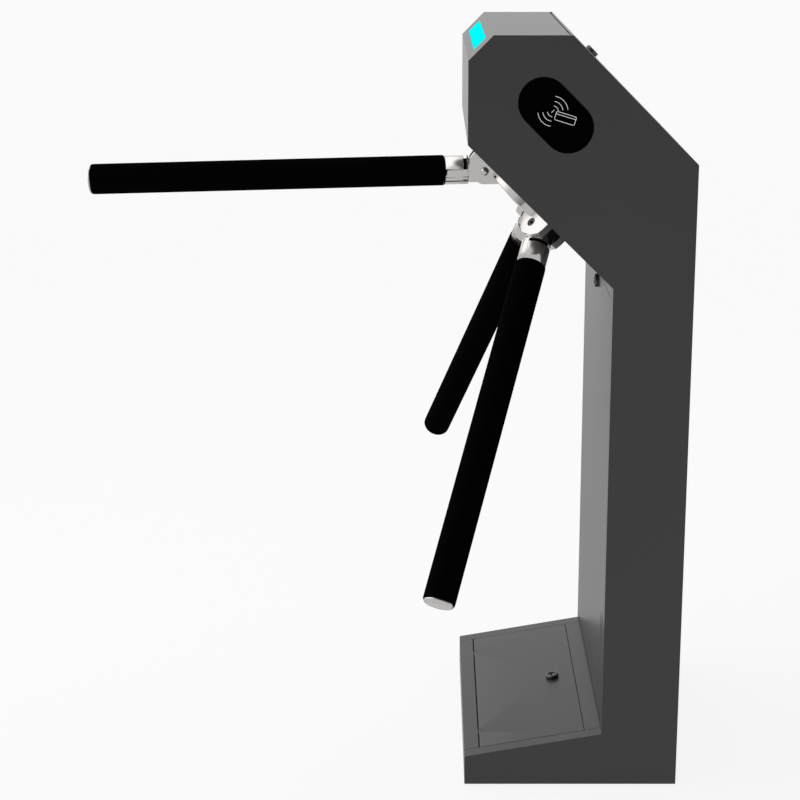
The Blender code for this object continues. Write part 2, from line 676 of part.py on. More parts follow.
def arm(name):
    """One arm in its own frame: the pin along Y at the origin, the arm running out along +Z."""
    frame = arm_frames[name]
    shoulder = SHOULDER_START
    sleeve_start = SLEEVE_START - PIN_ALONG
    end = ARM_END - PIN_ALONG
    spigot = [
        (0.0135, 0.060), (SPIGOT_RADIUS - 0.006, 0.055), (0, 0.055), (0, shoulder),
        (SPIGOT_RADIUS - 0.001, shoulder), (SPIGOT_RADIUS, shoulder + 0.001),
        (SPIGOT_RADIUS, shoulder + 0.0016),
        (SPIGOT_RADIUS - 0.0016, shoulder + 0.0016), (SPIGOT_RADIUS - 0.0016, shoulder + 0.0050),
        (SPIGOT_RADIUS, shoulder + 0.0050), (SPIGOT_RADIUS, sleeve_start), (TUBE_RADIUS, sleeve_start),
        (TUBE_RADIUS, end - 0.0065), (0.0135, end - 0.0065),
    ]
    tube = turned(f"{name}_arm_rod", spigot, ROUND, paint=paints["stainless"], parent=frame)
    root = shoulder + 0.002
    tongue = arc((0, 0), TONGUE_TIP, 180, 360, 12) + [(TONGUE_TIP, root), (-TONGUE_TIP, root)]
    tongue_plate = flat(f"{name}_tongue", tongue, 2 * TONGUE_HALF, parent=frame, turn=(pi / 2, 0, 0))
    join(tube, tongue_plate)
    cut(tube, rod(f"{name}_tongue_bore", PIN_HOLE, -0.02, 0.02, COARSE, parent=frame, turn=(pi / 2, 0, 0)))
    ease = 0.0012
    sleeve = [
        (TUBE_RADIUS + GAP, sleeve_start + GAP), (SLEEVE_RADIUS - ease, sleeve_start + GAP),
        (SLEEVE_RADIUS, sleeve_start + GAP + ease), (SLEEVE_RADIUS, end - 0.0030 - ease),
        (SLEEVE_RADIUS - ease / 2, end - 0.0030), (TUBE_RADIUS + GAP, end - 0.0030),
    ]
    turned(f"{name}_arm_sleeve", sleeve, ROUND, paint=paints["black"], parent=frame)
    cap = [
        (0, end - 0.020), (0.0130, end - 0.020), (0.0130, end - 0.0027), (0.0188, end - 0.0027),
        (0.0188, end - 0.0010), (0.0170, end), (0, end + 0.0006),
    ]
    turned(f"{name}_arm_cap", cap, ROUND, paint=paints["stainless"], parent=frame)
    arm_pin(name, frame)


def arm_pin(name, frame):
    """The arm's pivot: a socket head in its counterbore, the shank and a domed nut."""
    nut = -CHEEK_OUTER - GAP
    seat = CHEEK_OUTER - 0.0050 + GAP
    profile = [
        (0, nut - 0.0047), (0.0030, nut - 0.0043), (0.0050, nut - 0.0029), (0.0055, nut - 0.0012), (0.0055, nut),
        (0.0040, nut), (0.0040, seat), (0.0057, seat), (0.0057, seat + 0.0037), (0.0052, seat + 0.0042),
        (0, seat + 0.0042),
    ]
    across = {"parent": frame, "turn": (-pi / 2, 0, 0)}
    pin = turned(f"{name}_arm_pin", profile, SMALL, paint=paints["stainless"], **across)
    cut(pin, rod(f"{name}_socket", 0.0030, seat + 0.0015, 0.04, 6, **across))


# -------------------------------------------------------------- mechanism


def gear_outline(teeth, phase=0.0):
    """An involute spur gear's outline, its first tooth centred on the angle phase."""
    pressure_angle = radians(20)
    pitch = GEAR_MODULE * teeth / 2
    base_radius = pitch * cos(pressure_angle)
    root = pitch - 1.25 * GEAR_MODULE
    tip = pitch + 0.85 * GEAR_MODULE
    half_pitch = (pi * GEAR_MODULE / 2 - BACKLASH) / (2 * pitch)

    def half_angle(radius):
        pressure = acos(base_radius / max(radius, base_radius))
        return half_pitch + (tan(pressure_angle) - pressure_angle) - (tan(pressure) - pressure)

    flank = [root, max(base_radius, root + 0.0001), pitch, tip]
    outline = []
    for tooth in range(teeth):
        middle = phase + 2 * pi * tooth / teeth
        rising = [(radius, middle - half_angle(radius)) for radius in flank]
        falling = [(radius, middle + half_angle(radius)) for radius in reversed(flank)]
        outline += [(radius * cos(angle), radius * sin(angle)) for radius, angle in rising + falling]
    return outline


def wheel_outline(notches, rim, floor, notch_half):
    """A disc's outline with straight-sided notches at even angles, one of them on +X."""
    outline = []
    for notch in range(notches):
        middle = 2 * pi * notch / notches
        at_rim = notch_half / rim
        at_floor = notch_half / floor
        corners = [(rim, -at_rim), (floor, -at_floor), (floor, at_floor), (rim, at_rim), (rim, pi / notches)]
        for radius, offset in corners:
            outline.append((radius * cos(middle + offset), radius * sin(middle + offset)))
    return outline


def cam_outline(lobes, tip, valley, steps):
    """A smooth cam with its valleys at 90 degrees and every even step from there."""
    outline = []
    for i in range(steps):
        angle = 2 * pi * i / steps
        lift = (1 - cos(lobes * (angle - pi / 2))) / 2
        radius = valley + (tip - valley) * lift ** 0.7
        outline.append((radius * cos(angle), radius * sin(angle)))
    return outline


def on_shaft(name, outline, front, back, paint):
    """A wheel on the shaft between two depths, bored to pass over it."""
    wheel = flat(name, outline, front - back, paint=paint, parent=hub_frame, at=(0, 0, (front + back) / 2))
    cut(wheel, rod(name + "_bore", SHAFT_RADIUS + GAP, back - 0.01, front + 0.01, ROUND, parent=hub_frame))


def hub_wheels():
    """Everything that the shaft carries behind the hub face."""
    shaft = [
        (0, 0.0009), (0, SHAFT_END), (SHAFT_RADIUS - 0.001, SHAFT_END), (SHAFT_RADIUS, SHAFT_END + 0.001),
        (SHAFT_RADIUS, 0.0009),
    ]
    turned("hub_shaft", shaft, ROUND, paint=paints["steel"], parent=hub_frame)
    rim = wheel_outline(WHEEL_NOTCHES, WHEEL_RADIUS, WHEEL_RADIUS - 0.007, 0.005)
    on_shaft("lock_wheel", rim, WHEEL_FRONT, WHEEL_BACK, paints["steel"])
    on_shaft("drive_gear", gear_outline(GEAR_TEETH), GEAR_FRONT, GEAR_BACK, paints["steel"])
    lobes = cam_outline(CAM_LOBES, CAM_TIP, CAM_VALLEY, 48)
    on_shaft("index_cam", lobes, CAM_FRONT, CAM_BACK, paints["steel"])
    slots = wheel_outline(ENCODER_SLOTS, ENCODER_RADIUS, ENCODER_RADIUS - 0.005, 0.0026)
    on_shaft("encoder_disc", slots, ENCODER_FRONT, ENCODER_BACK, paints["plastic"])


def bearing(name, outer, front, back):
    """A plain ring that fills its seat in a plate, just inside both faces."""
    inner = SHAFT_RADIUS + GAP
    edge = 0.0005
    profile = [(inner, back + edge), (inner, front - edge), (outer, front - edge), (outer, back + edge)]
    turned(name, profile, ROUND, paint=paints["steel"], parent=hub_frame)


def mechanism_frame():
    """Front and rear plates on four pillars, with posts for the pawl and the detent arm."""
    low_front = (-0.070, -0.125, PLATE_BACK)
    high_front = (0.070, 0.090, PLATE_FRONT)
    frame = box("mechanism_frame", low_front, high_front, paint=paints["zinc"], parent=hub_frame)
    rear = box("rear_plate", (-0.062, -0.085, REAR_BACK), (0.062, 0.085, REAR_FRONT), parent=hub_frame)
    join(frame, rear)
    for x in PILLARS_X:
        for y in PILLARS_Y:
            join(frame, rod(f"pillar_{x}_{y}", PILLAR_RADIUS, REAR_BACK + 0.002, PLATE_BACK + 0.002, COARSE,
                            parent=hub_frame, at=(x, y, 0)))
    join(frame, rod("pawl_post", POST_RADIUS, WHEEL_BACK - 0.006, PLATE_BACK + 0.002, COARSE,
                    parent=hub_frame, at=(*PAWL_PIVOT, 0)))
    join(frame, rod("detent_post", POST_RADIUS, REAR_FRONT - 0.002, CAM_FRONT + 0.002, COARSE,
                    parent=hub_frame, at=(*DETENT_PIVOT, 0)))
    cut(frame, rod("front_seat", FRONT_SEAT, PLATE_BACK - 0.01, PLATE_FRONT + 0.01, ROUND, parent=hub_frame))
    cut(frame, rod("rear_seat", REAR_SEAT, REAR_BACK - 0.01, REAR_FRONT + 0.01, ROUND, parent=hub_frame))
    cut(frame, rod("damper_seat", 0.0058, REAR_BACK - 0.01, REAR_FRONT + 0.01, COARSE, parent=hub_frame,
                   at=damper_place()))
    bearing("front_bearing", FRONT_SEAT - GAP, PLATE_FRONT, PLATE_BACK)
    bearing("rear_bearing", REAR_SEAT - GAP, REAR_FRONT, REAR_BACK)


def damper_place():
    return DAMPER_DISTANCE * cos(DAMPER_ANGLE), DAMPER_DISTANCE * sin(DAMPER_ANGLE), 0


def damper():
    """A rotary damper behind the rear plate, its pinion in mesh with the drive gear."""
    place = empty("damper_axis", parent=hub_frame, at=damper_place())
    body = [(0.0062, REAR_BACK - 0.0263), (0.0062, REAR_BACK - 0.0003), (0.0170, REAR_BACK - 0.0003),
            (0.0170, REAR_BACK - 0.0243), (0.0150, REAR_BACK - 0.0263)]
    turned("rotary_damper", body, SMALL, paint=paints["plastic"], parent=place)
    pinion_phase = DAMPER_ANGLE + pi + pi / PINION_TEETH - mesh_shift()
    pinion = flat("damper_pinion", gear_outline(PINION_TEETH, pinion_phase), GEAR_FRONT - GEAR_BACK,
                  paint=paints["brass"], parent=place, at=(0, 0, (GEAR_FRONT + GEAR_BACK) / 2))
    join(pinion, rod("pinion_shaft", 0.0052, REAR_BACK - 0.022, GEAR_FRONT - 0.001, COARSE, parent=place))


def mesh_shift():
    """How far the pinion turns so that its gap meets the gear's nearest tooth at rest."""
    off_tooth = (DAMPER_ANGLE * GEAR_TEETH / (2 * pi)) % 1
    return -off_tooth * 2 * pi / PINION_TEETH


def lock_parts():
    """The pawl that drops into the lock wheel, and the solenoid and plunger that push it."""
    middle = (WHEEL_FRONT + WHEEL_BACK) / 2
    place = empty("pawl_axis", parent=hub_frame, at=(*PAWL_PIVOT, middle))
    x, y = PAWL_PIVOT
    outline = arc((0, 0), 0.0080, -90, 90, 8) + [
        (-0.0427, 0.0050), (-0.0432, 0.0125), (-0.0492, 0.0125), (-0.0492, 0.0050), (-0.0620, 0.0040),
        (-0.0620, -0.0050), (-0.0100, -0.0050),
    ]
    pawl = flat("lock_pawl", outline, WHEEL_FRONT - WHEEL_BACK - 0.0010, paint=paints["steel"], parent=place)
    cut(pawl, rod("pawl_bore", POST_RADIUS + GAP, -0.02, 0.02, COARSE, parent=place))
    plunger_x = x - PLUNGER_LEVER
    slide = empty("plunger_axis", parent=hub_frame, at=(plunger_x, 0, middle))
    rod("lock_plunger", PLUNGER_RADIUS, -0.1000, y - 0.0060, COARSE, paint=paints["steel"], parent=slide,
        turn=(-pi / 2, 0, 0))
    low = (-0.0150, -0.1220, -0.0130)
    high = (0.0150, y - 0.0160, PLATE_BACK - middle - GAP - 0.0001)
    solenoid = box("lock_solenoid", low, high, paint=paints["coil"], parent=slide)
    cut(solenoid, rod("plunger_bore", PLUNGER_RADIUS + 2 * GAP, -0.1010, 0, COARSE, parent=slide,
                      turn=(-pi / 2, 0, 0)))


def detent():
    """The sprung arm whose nose rides on the index cam, drawn at the top of its stroke."""
    middle = (CAM_FRONT + CAM_BACK) / 2
    place = empty("detent_axis", parent=hub_frame, at=(*DETENT_PIVOT, middle))
    x, y = DETENT_PIVOT
    nose_radius = 0.0085
    nose = (-x, CAM_TIP + nose_radius + 2 * GAP - 0.0001 - y)
    outline = arc((0, 0), 0.0075, 90, 270, 8) + [(-x - 0.0090, -0.0055)]
    outline += arc(nose, nose_radius, 180, 360, 10)
    outline += [(-x + 0.0090, -0.0055), (0.0700, -0.0040), (0.0700, 0.0060)]
    detent_arm = flat("detent_arm", outline, 0.0080, paint=paints["steel"], parent=place)
    cut(detent_arm, rod("detent_bore", POST_RADIUS + GAP, -0.02, 0.02, COARSE, parent=place))
    turns = 4
    steps = 9
    wire = 0.0007
    radius = POST_RADIUS + 0.0022
    start = CAM_BACK - 0.0010 - wire - middle
    pitch = 0.0020
    points = []
    for i in range(turns * steps + 1):
        angle = 2 * pi * i / steps
        points.append((radius * cos(angle), radius * sin(angle), start - pitch * i / steps))
    wire_path("detent_spring", points, wire, 1, paint=paints["steel"], parent=place)


def wire_path(name, points, radius, resolution, **where):
    curve = bpy.data.curves.new(name, "CURVE")
    curve.dimensions = "3D"
    curve.bevel_depth = radius
    curve.bevel_resolution = resolution
    curve.use_fill_caps = True
    spline = curve.splines.new("POLY")
    spline.points.add(len(points) - 1)
    for point, place in zip(spline.points, points):
        point.co = (*place, 1)
    return put(bpy.data.objects.new(name, curve), **where)


def encoder_sensor():
    """A fork sensor that reads the slots of the encoder disc, on a foot on the rear plate."""
    middle = (ENCODER_FRONT + ENCODER_BACK) / 2
    sensor = box("encoder_sensor", (-0.006, 0.0275, REAR_FRONT + GAP), (0.006, 0.0460, middle + 0.0050),
                 paint=paints["plastic"], parent=hub_frame)
    cut(sensor, box("sensor_slot", (-0.01, 0.02, middle - 0.0020), (0.01, 0.0365, middle + 0.0020),
                    parent=hub_frame))


# ------------------------------------------------------------ electronics


def control_board():
    """The counter and lock controller on the far side of the head: board, chips and plugs."""
    face = HALF - 0.030
    board = box("control_board", (0.010, face, 0.740), (0.110, face + 0.0016, 0.840), paint=paints["board"])
    pieces = [
        (0.030, 0.7750, 0.024, 0.024, 0.0035), (0.075, 0.7900, 0.030, 0.014, 0.0080),
        (0.060, 0.8325, 0.080, 0.010, 0.0110), (0.060, 0.7475, 0.080, 0.010, 0.0110),
        (0.085, 0.7650, 0.016, 0.018, 0.0150), (0.030, 0.8120, 0.012, 0.020, 0.0150),
    ]
    for number, (x, z, wide, tall, deep) in enumerate(pieces):
        low = (x - wide / 2, face - deep, z - tall / 2)
        high = (x + wide / 2, face + 0.0008, z + tall / 2)
        join(board, box(f"board_piece_{number}", low, high))


def power_supply():
    """The power supply on the inside of the back panel, with a terminal block on its lower end."""
    back = BACK - SHEET - GAP
    case = box("power_supply", (back - 0.038, -0.055, 0.330), (back, 0.055, 0.500), paint=paints["zinc"])
    terminals = box("terminals", (back - 0.026, -0.040, 0.316), (back - 0.006, 0.040, 0.331))
    join(case, terminals)
    return case


def wiring_loom():
    """The loom from the gland up the column to the control board."""
    route = [
        (GLAND[0], GLAND[1], 0.006), (GLAND[0], GLAND[1], 0.060), (0.100, 0.085, 0.140), (0.105, 0.110, 0.240),
        (0.105, 0.120, 0.400), (0.105, 0.125, 0.560), (0.100, 0.135, 0.660), (0.080, 0.145, 0.715),
        (0.062, 0.152, 0.738),
    ]
    wire_path("wiring_loom", smooth(route, 4), 0.0040, 2, paint=paints["plastic"])


def smooth(route, steps):
    """Points on a smooth curve through a route's points."""
    points = []
    ends = [route[0]] + route + [route[-1]]
    for before, start, end, after in zip(ends, ends[1:], ends[2:], ends[3:]):
        for step in range(steps):
            t = step / steps
            points.append([
                b + ((c - a) * t + (2 * a - 5 * b + 4 * c - d) * t ** 2 + (3 * b - a - 3 * c + d) * t ** 3) / 2
                for a, b, c, d in zip(before, start, end, after)
            ])
    points.append(route[-1])
    return points


# ------------------------------------------------------------------ build

clear_scene()
parts = collection(PARTS)
helpers = collection(HELPERS)
paints = make_materials()

hub_frame = empty("hub_axis", at=FACE_CENTRE, turn=(0, FACE_TURN, 0))
arm_frames = {}
for arm_name, arm_phase in ARM_PHASES.items():
    arm_angle = radians(arm_phase)
    arm_frames[arm_name] = empty(
        f"{arm_name}_arm_axis", parent=hub_frame,
        at=(PIN_RADIAL * cos(arm_angle), PIN_RADIAL * sin(arm_angle), PIN_OUT), turn=(0, ARM_CONE, arm_angle),
    )

side_panel("near_side_panel", -1)
side_panel("far_side_panel", 1)
reader_window("near_reader_window", -1)
reader_window("far_reader_window", 1)
reader_board("near_reader_board", -1)
reader_board("far_reader_board", 1)
head_shell()
lamp()
hub_face_plate()
back_panel()
foot_front_rail()
foot_rear_strip()
base()
slope_cover()
column_door()
foot_lid()
hub_head()
for arm_name in ARM_PHASES:
    arm(arm_name)
hub_wheels()
mechanism_frame()
damper()
lock_parts()
detent()
encoder_sensor()
control_board()
power_supply()
wiring_loom()
shade_round_pieces()
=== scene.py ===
"""The finished look of a tripod turnstile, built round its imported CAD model.

Every length is in metres. An arm's own frame has its pin along Y at the
origin and the arm out along +Z; a lock's own frame has its key side on +Z.
"""

import json
from math import acos, cos, pi, radians, sin

import bmesh
import bpy
from mathutils import Matrix, Vector


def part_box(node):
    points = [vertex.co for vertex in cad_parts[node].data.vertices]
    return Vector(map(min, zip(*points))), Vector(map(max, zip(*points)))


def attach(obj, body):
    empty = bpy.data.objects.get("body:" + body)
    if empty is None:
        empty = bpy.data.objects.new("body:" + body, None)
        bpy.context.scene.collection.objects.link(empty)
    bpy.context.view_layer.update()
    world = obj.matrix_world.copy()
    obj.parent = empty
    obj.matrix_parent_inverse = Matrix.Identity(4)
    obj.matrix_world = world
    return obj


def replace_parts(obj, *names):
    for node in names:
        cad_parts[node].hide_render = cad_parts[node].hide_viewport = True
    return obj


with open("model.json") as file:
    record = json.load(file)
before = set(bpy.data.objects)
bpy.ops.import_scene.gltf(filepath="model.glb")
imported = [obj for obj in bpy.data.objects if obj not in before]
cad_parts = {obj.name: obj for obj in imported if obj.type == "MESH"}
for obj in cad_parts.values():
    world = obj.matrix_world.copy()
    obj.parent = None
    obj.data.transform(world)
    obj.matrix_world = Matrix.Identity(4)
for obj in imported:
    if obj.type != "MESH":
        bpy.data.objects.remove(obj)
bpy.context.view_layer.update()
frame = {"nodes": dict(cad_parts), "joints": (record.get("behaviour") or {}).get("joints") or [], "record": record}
record = frame["record"]

# Arms
ARMS = ("front", "near", "far")
ARM_CONE = radians(44)
SHOULDER = 0.0212
SLEEVE_START = 0.0535
ARM_END = 0.5214
SPIGOT_RADIUS = 0.0190
TUBE_RADIUS = 0.0155
SLEEVE_RADIUS = 0.0200
FLAT_OFFSET = 0.0181
TONGUE_HALF = 0.0095
TONGUE_TIP = 0.0155
TONGUE_ROOT = SHOULDER + 0.0010
PIN_RADIUS = 0.0040
PIN_HEAD_RADIUS = 0.0056
PIN_HEAD_SINK = 0.0050
PIN_SOCKET = 0.0030
CHEEK_OUTER = 0.0205
CAP_FLANGE = 0.0186
CAP_PLUG = 0.0130
CLEARANCE = 0.0003
THROUGH = 0.03

# The spigot's section, its angles measured in degrees from its upper side
FLAT_FROM = 82.0
FLAT_TO = 108.0
SLOT_EDGE = FLAT_FROM - 1
SLOT_DEPTH = 0.0042
SLOT_START = SHOULDER + 0.0018
SLOT_END = SLOT_START + 0.0044
GROOVES = ((FLAT_FROM, 1.1, 0.0010), (114.0, 1.0, 0.0012), (133.0, 3.2, 0.0030))
GROOVE_START = SLOT_END + 0.0004
SECTION_EDGES = (81.0, 80.9, 83.1, 108.0, 113.0, 115.0, 129.8, 136.2)
SECTION_PAIR = 0.06
SECTION_STEP = 3.0
# Slot and groove faces sunk deeper than this get the painted groove shade in place of their own shadow
SHADED_DEPTH = 0.0011
SHOULDER_EASE = 0.0008
SPIGOT_END = SLEEVE_START + 0.0002
TUBE_END = ARM_END - 0.0210

# Card reader symbol, measured from the middle of its window
SYMBOL_LINE = 0.0007
SYMBOL_HEIGHT = 0.00012
WAVES_AT = (-0.0040, 0.0050)
WAVE_RADII = (0.0065, 0.0120, 0.0180)
WAVE_MIDDLES = (43, 224)
WAVE_SPREAD = 38
BAR_REACH = 0.0016
CARD_AT = (0.0112, -0.0035)
CARD_SIZE = (0.0250, 0.0104)
CARD_CORNER = 0.0016
CARD_TILT = radians(-17)
CARD_STRIPE = 0.4

# Locks
LOCK_HEAD_RADIUS = 0.0090
LOCK_HEAD_HEIGHT = 0.0054
LOCK_BARREL_RADIUS = 0.0070
LOCK_PLUG_RADIUS = 0.0052
LOCK_PLUG_SINK = 0.0010
LOCK_DEPTH = 0.0150
LOCK_CAM = 0.0024
LOCK_CAM_HUB = 0.0085
LOCK_CAM_TIP = 0.0050
KEYWAY = (0.0034, 0.0007)
KEYWAY_DEPTH = 0.0030

# Studio
FLOOR_SIZE = 60
FLOOR_BELOW = 0.0002
FLOOR_SEEN = 0.868
FLOOR_FRONT, FLOOR_BACK = (0.6, 0.58), (6.0, 0.92)
KEY_AT = (-1.5, 0.1, 1.9)
KEY_AIM = (0, 0, 0.8)
KEY_SIZE = 1.5
KEY_WATTS = 10.0
EYE_AT = (-0.1864, -2.4044, 1.1583)
EYE_PITCH = -0.2654
EYE_LENS = 82.42
EYE_SHIFT = (-0.0367, -0.0281)

# Mesh quality
ROUND = 96
MEDIUM = 48
WELD = 1e-6
FLAT_ENOUGH = 0.5
EDGE_ANGLE = 30

# ------------------------------------------------------------- materials


class Paint:
    """A node material built up from one Principled shader."""

    def __init__(self, name, colour, roughness, metallic=0.0, ior=1.45):
        self.material = bpy.data.materials.new(name)
        self.material.use_nodes = True
        self.nodes = self.material.node_tree.nodes
        self.links = self.material.node_tree.links
        self.shader = self.nodes["Principled BSDF"]
        self.set("Base Color", (*colour, 1))
        self.set("Roughness", roughness)
        self.set("Metallic", metallic)
        self.set("IOR", ior)
        self.colour = colour
        self.roughness = roughness

    def set(self, socket, value):
        self.shader.inputs[socket].default_value = value

    def noise(self, scale, detail=2.0, stretch=(1, 1, 1)):
        """Noise in object space, its scale in features per metre."""
        place = self.nodes.new("ShaderNodeTexCoord")
        fit = self.nodes.new("ShaderNodeMapping")
        fit.inputs["Scale"].default_value = stretch
        grain = self.nodes.new("ShaderNodeTexNoise")
        grain.inputs["Scale"].default_value = scale
        grain.inputs["Detail"].default_value = detail
        self.links.new(place.outputs["Object"], fit.inputs["Vector"])
        self.links.new(fit.outputs["Vector"], grain.inputs["Vector"])
        return grain.outputs["Fac"]

    def vary_roughness(self, source, spread):
        ramp = self.nodes.new("ShaderNodeMapRange")
        ramp.inputs["To Min"].default_value = self.roughness - spread
        ramp.inputs["To Max"].default_value = self.roughness + spread
        self.links.new(source, ramp.inputs["Value"])
        self.links.new(ramp.outputs["Result"], self.shader.inputs["Roughness"])

    def vary_colour(self, source, spread):
        """Swings the base colour's brightness by a share of itself."""
        mix = self.nodes.new("ShaderNodeMix")
        mix.data_type = "RGBA"
        mix.inputs["A"].default_value = (*[c * (1 - spread) for c in self.colour], 1)
        mix.inputs["B"].default_value = (*[c * (1 + spread) for c in self.colour], 1)
        self.links.new(source, mix.inputs["Factor"])
        self.links.new(mix.outputs["Result"], self.shader.inputs["Base Color"])

    def bump(self, source, height, strength=1.0):
        bump = self.nodes.new("ShaderNodeBump")
        bump.inputs["Distance"].default_value = height
        bump.inputs["Strength"].default_value = strength
        self.links.new(source, bump.inputs["Height"])
        self.links.new(bump.outputs["Normal"], self.shader.inputs["Normal"])


def grey_coat():
    """Satin dark grey powder coat: a fine orange peel and a slightly uneven sheen."""
    paint = Paint("grey_coat_finish", (0.0410, 0.0410, 0.0415), 0.32, ior=1.54)
    paint.vary_colour(paint.noise(9.0, 3.0), 0.06)
    paint.vary_roughness(paint.noise(420.0, 2.0), 0.03)
    paint.bump(paint.noise(1400.0, 2.0), 0.00003, 0.35)
    return paint.material


def polished_steel():
    """Polished stainless steel with faint polishing haze."""
    paint = Paint("polished_steel_finish", (0.665, 0.645, 0.63), 0.12, 1.0)
    paint.vary_roughness(paint.noise(160.0, 4.0), 0.035)
    paint.vary_colour(paint.noise(55.0, 3.0), 0.03)
    paint.bump(paint.noise(900.0, 2.0), 0.00001, 0.25)
    return paint.material


def brushed_metal(name, colour, roughness, stretch):
    """Metal with a drawn or rolled grain along one axis."""
    paint = Paint(name, colour, roughness, 1.0)
    grain = paint.noise(700.0, 3.0, stretch)
    paint.vary_roughness(grain, 0.08)
    paint.vary_colour(paint.noise(30.0, 3.0), 0.08)
    paint.bump(grain, 0.00003, 0.4)
    return paint.material


def black_sleeve():
    """Matt black rubber sleeve with a very fine open grain."""
    paint = Paint("black_sleeve_finish", (0.0016, 0.0016, 0.0017), 0.9, ior=1.04)
    paint.vary_colour(paint.noise(260.0, 3.0), 0.25)
    paint.vary_roughness(paint.noise(90.0, 3.0), 0.06)
    paint.bump(paint.noise(1700.0, 3.0), 0.00012, 0.6)
    return paint.material


def groove_shade():
    """Painted shade for the floor of the collar's slot and deep grooves: a near-black that stands in for the
    shadow inside them.
    """
    paint = Paint("painted_groove_shadow", (0.006, 0.006, 0.006), 0.7, ior=1.1)
    paint.vary_roughness(paint.noise(300.0, 2.0), 0.05)
    paint.vary_colour(paint.noise(200.0, 2.0), 0.2)
    return paint.material


def moulded_plastic(name, colour, roughness):
    paint = Paint(name, colour, roughness)
    paint.vary_roughness(paint.noise(200.0, 3.0), 0.05)
    paint.vary_colour(paint.noise(40.0, 2.0), 0.08)
    paint.bump(paint.noise(1100.0, 2.0), 0.00003, 0.4)
    return paint.material


def reader_glass():
    """Gloss black acrylic, with a faint smear in its polish."""
    paint = Paint("reader_glass_finish", (0.0006, 0.0006, 0.0007), 0.05, ior=1.06)
    paint.vary_roughness(paint.noise(45.0, 4.0), 0.02)
    paint.vary_colour(paint.noise(20.0, 2.0), 0.2)
    return paint.material


def lit_cyan():
    """A cyan diffuser lit from behind, a little uneven over its lamps."""
    paint = Paint("lamp_finish", (0.0, 0.05, 0.05), 0.6, ior=1.0)
    paint.vary_colour(paint.noise(70.0, 2.0), 0.08)
    paint.vary_roughness(paint.noise(300.0, 2.0), 0.04)
    paint.set("Emission Color", (0.0, 1.0, 1.0, 1.0))
    paint.set("Emission Strength", 0.93)
    return paint.material


def symbol_white():
    paint = Paint("symbol_print_painted_glow", (0.80, 0.80, 0.80), 0.50)
    paint.vary_colour(paint.noise(300.0, 2.0), 0.05)
    # Painted glow: the printed sign is no lamp, but this emission makes it shine brighter than its light would
    paint.set("Emission Color", (0.8, 0.8, 0.8, 1.0))
    paint.set("Emission Strength", 0.25)
    return paint.material


def circuit_board():
    """Green solder mask with a tight pattern of traces in it."""
    along_traces = (1, 0.08, 0.08)
    paint = Paint("circuit_board_finish", (0.012, 0.11, 0.035), 0.38)
    paint.vary_colour(paint.noise(900.0, 0.0, along_traces), 0.45)
    paint.bump(paint.noise(900.0, 0.0, along_traces), 0.00003, 0.6)
    return paint.material


def make_finishes():
    """One finish for each material slot of the record."""
    along_x = (0.02, 1, 1)
    even = (1, 1, 1)
    return {
        "grey_coat": grey_coat(),
        "zinc_steel": brushed_metal("zinc_finish", (0.52, 0.53, 0.55), 0.42, along_x),
        "stainless": polished_steel(),
        "machined_steel": brushed_metal("machined_steel_finish", (0.46, 0.46, 0.48), 0.28, along_x),
        "brass": brushed_metal("brass_finish", (0.70, 0.48, 0.20), 0.30, along_x),
        "black_sleeve": black_sleeve(),
        "dark_plastic": moulded_plastic("dark_plastic_finish", (0.022, 0.022, 0.025), 0.45),
        "reader_glass": reader_glass(),
        "lamp_cyan": lit_cyan(),
        "circuit_board": circuit_board(),
        "coil_wrap": moulded_plastic("coil_wrap_finish", (0.045, 0.055, 0.13), 0.40),
        "dark_nickel": brushed_metal("dark_nickel_finish", (0.120, 0.120, 0.125), 0.26, even),
    }


# ----------------------------------------------------------- mesh helpers


def joint(name):
    return next(j for j in frame["joints"] if j["name"] == name)


def body_of(node):
    return next(body for body, members in record["behaviour"]["bodies"].items() if node in members)


def slot_of(node):
    return next(part["material_slot"] for part in record["subparts"] if part["node"] == node)


def new_object(name, built, place=Matrix.Identity(4)):
    mesh = bpy.data.meshes.new(name)
    built.transform(place)
    built.to_mesh(mesh)
    built.free()
    obj = bpy.data.objects.new(name, mesh)
    bpy.context.scene.collection.objects.link(obj)
    return obj


def apply_modifiers(obj):
    graph = bpy.context.evaluated_depsgraph_get()
    mesh = bpy.data.meshes.new_from_object(
        obj.evaluated_get(graph), preserve_all_data_layers=True, depsgraph=graph)
    obj.modifiers.clear()
    obj.data = mesh


def ease_edges(obj, width, segments=2):
    """Rounds the sharp edges and shades the rest smooth."""
    obj.data.shade_smooth()
    bevel = obj.modifiers.new("edges", "BEVEL")
    bevel.width = width
    bevel.segments = segments
    bevel.limit_method = "ANGLE"
    bevel.angle_limit = radians(EDGE_ANGLE)
    bevel.harden_normals = True
    apply_modifiers(obj)


def boolean(target, tool, operation):
    change = target.modifiers.new("shape", "BOOLEAN")
    change.operation = operation
    change.object = tool
    change.solver = "EXACT"
    apply_modifiers(target)
    bpy.data.objects.remove(tool)


def adopt(obj, node, finish=None):
    """Dresses a piece and sets it on the body of its CAD node."""
    slot = slot_of(node)
    obj.data.materials.clear()
    obj.data.materials.append(finish or finishes[slot])
    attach(obj, body_of(node))
    return obj


def stand_for(obj, node, finish=None):
    """Adopts a piece and hides the CAD node that it stands for."""
    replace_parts(adopt(obj, node, finish), node)
    return obj


def refined(node, width, segments=2):
    """A copy of a CAD node with its edges eased and its round faces smooth."""
    source = frame["nodes"][node].data
    built = bmesh.new()
    corners = [built.verts.new(corner.co) for corner in source.vertices]
    for face in source.polygons:
        built.faces.new([corners[i] for i in face.vertices])
    bmesh.ops.remove_doubles(built, verts=built.verts, dist=WELD)
    flat = radians(FLAT_ENOUGH)
    bmesh.ops.dissolve_limit(built, angle_limit=flat, verts=built.verts, edges=built.edges)
    piece = new_object(node + "_finished", built)
    ease_edges(piece, width, segments)
    return stand_for(piece, node)


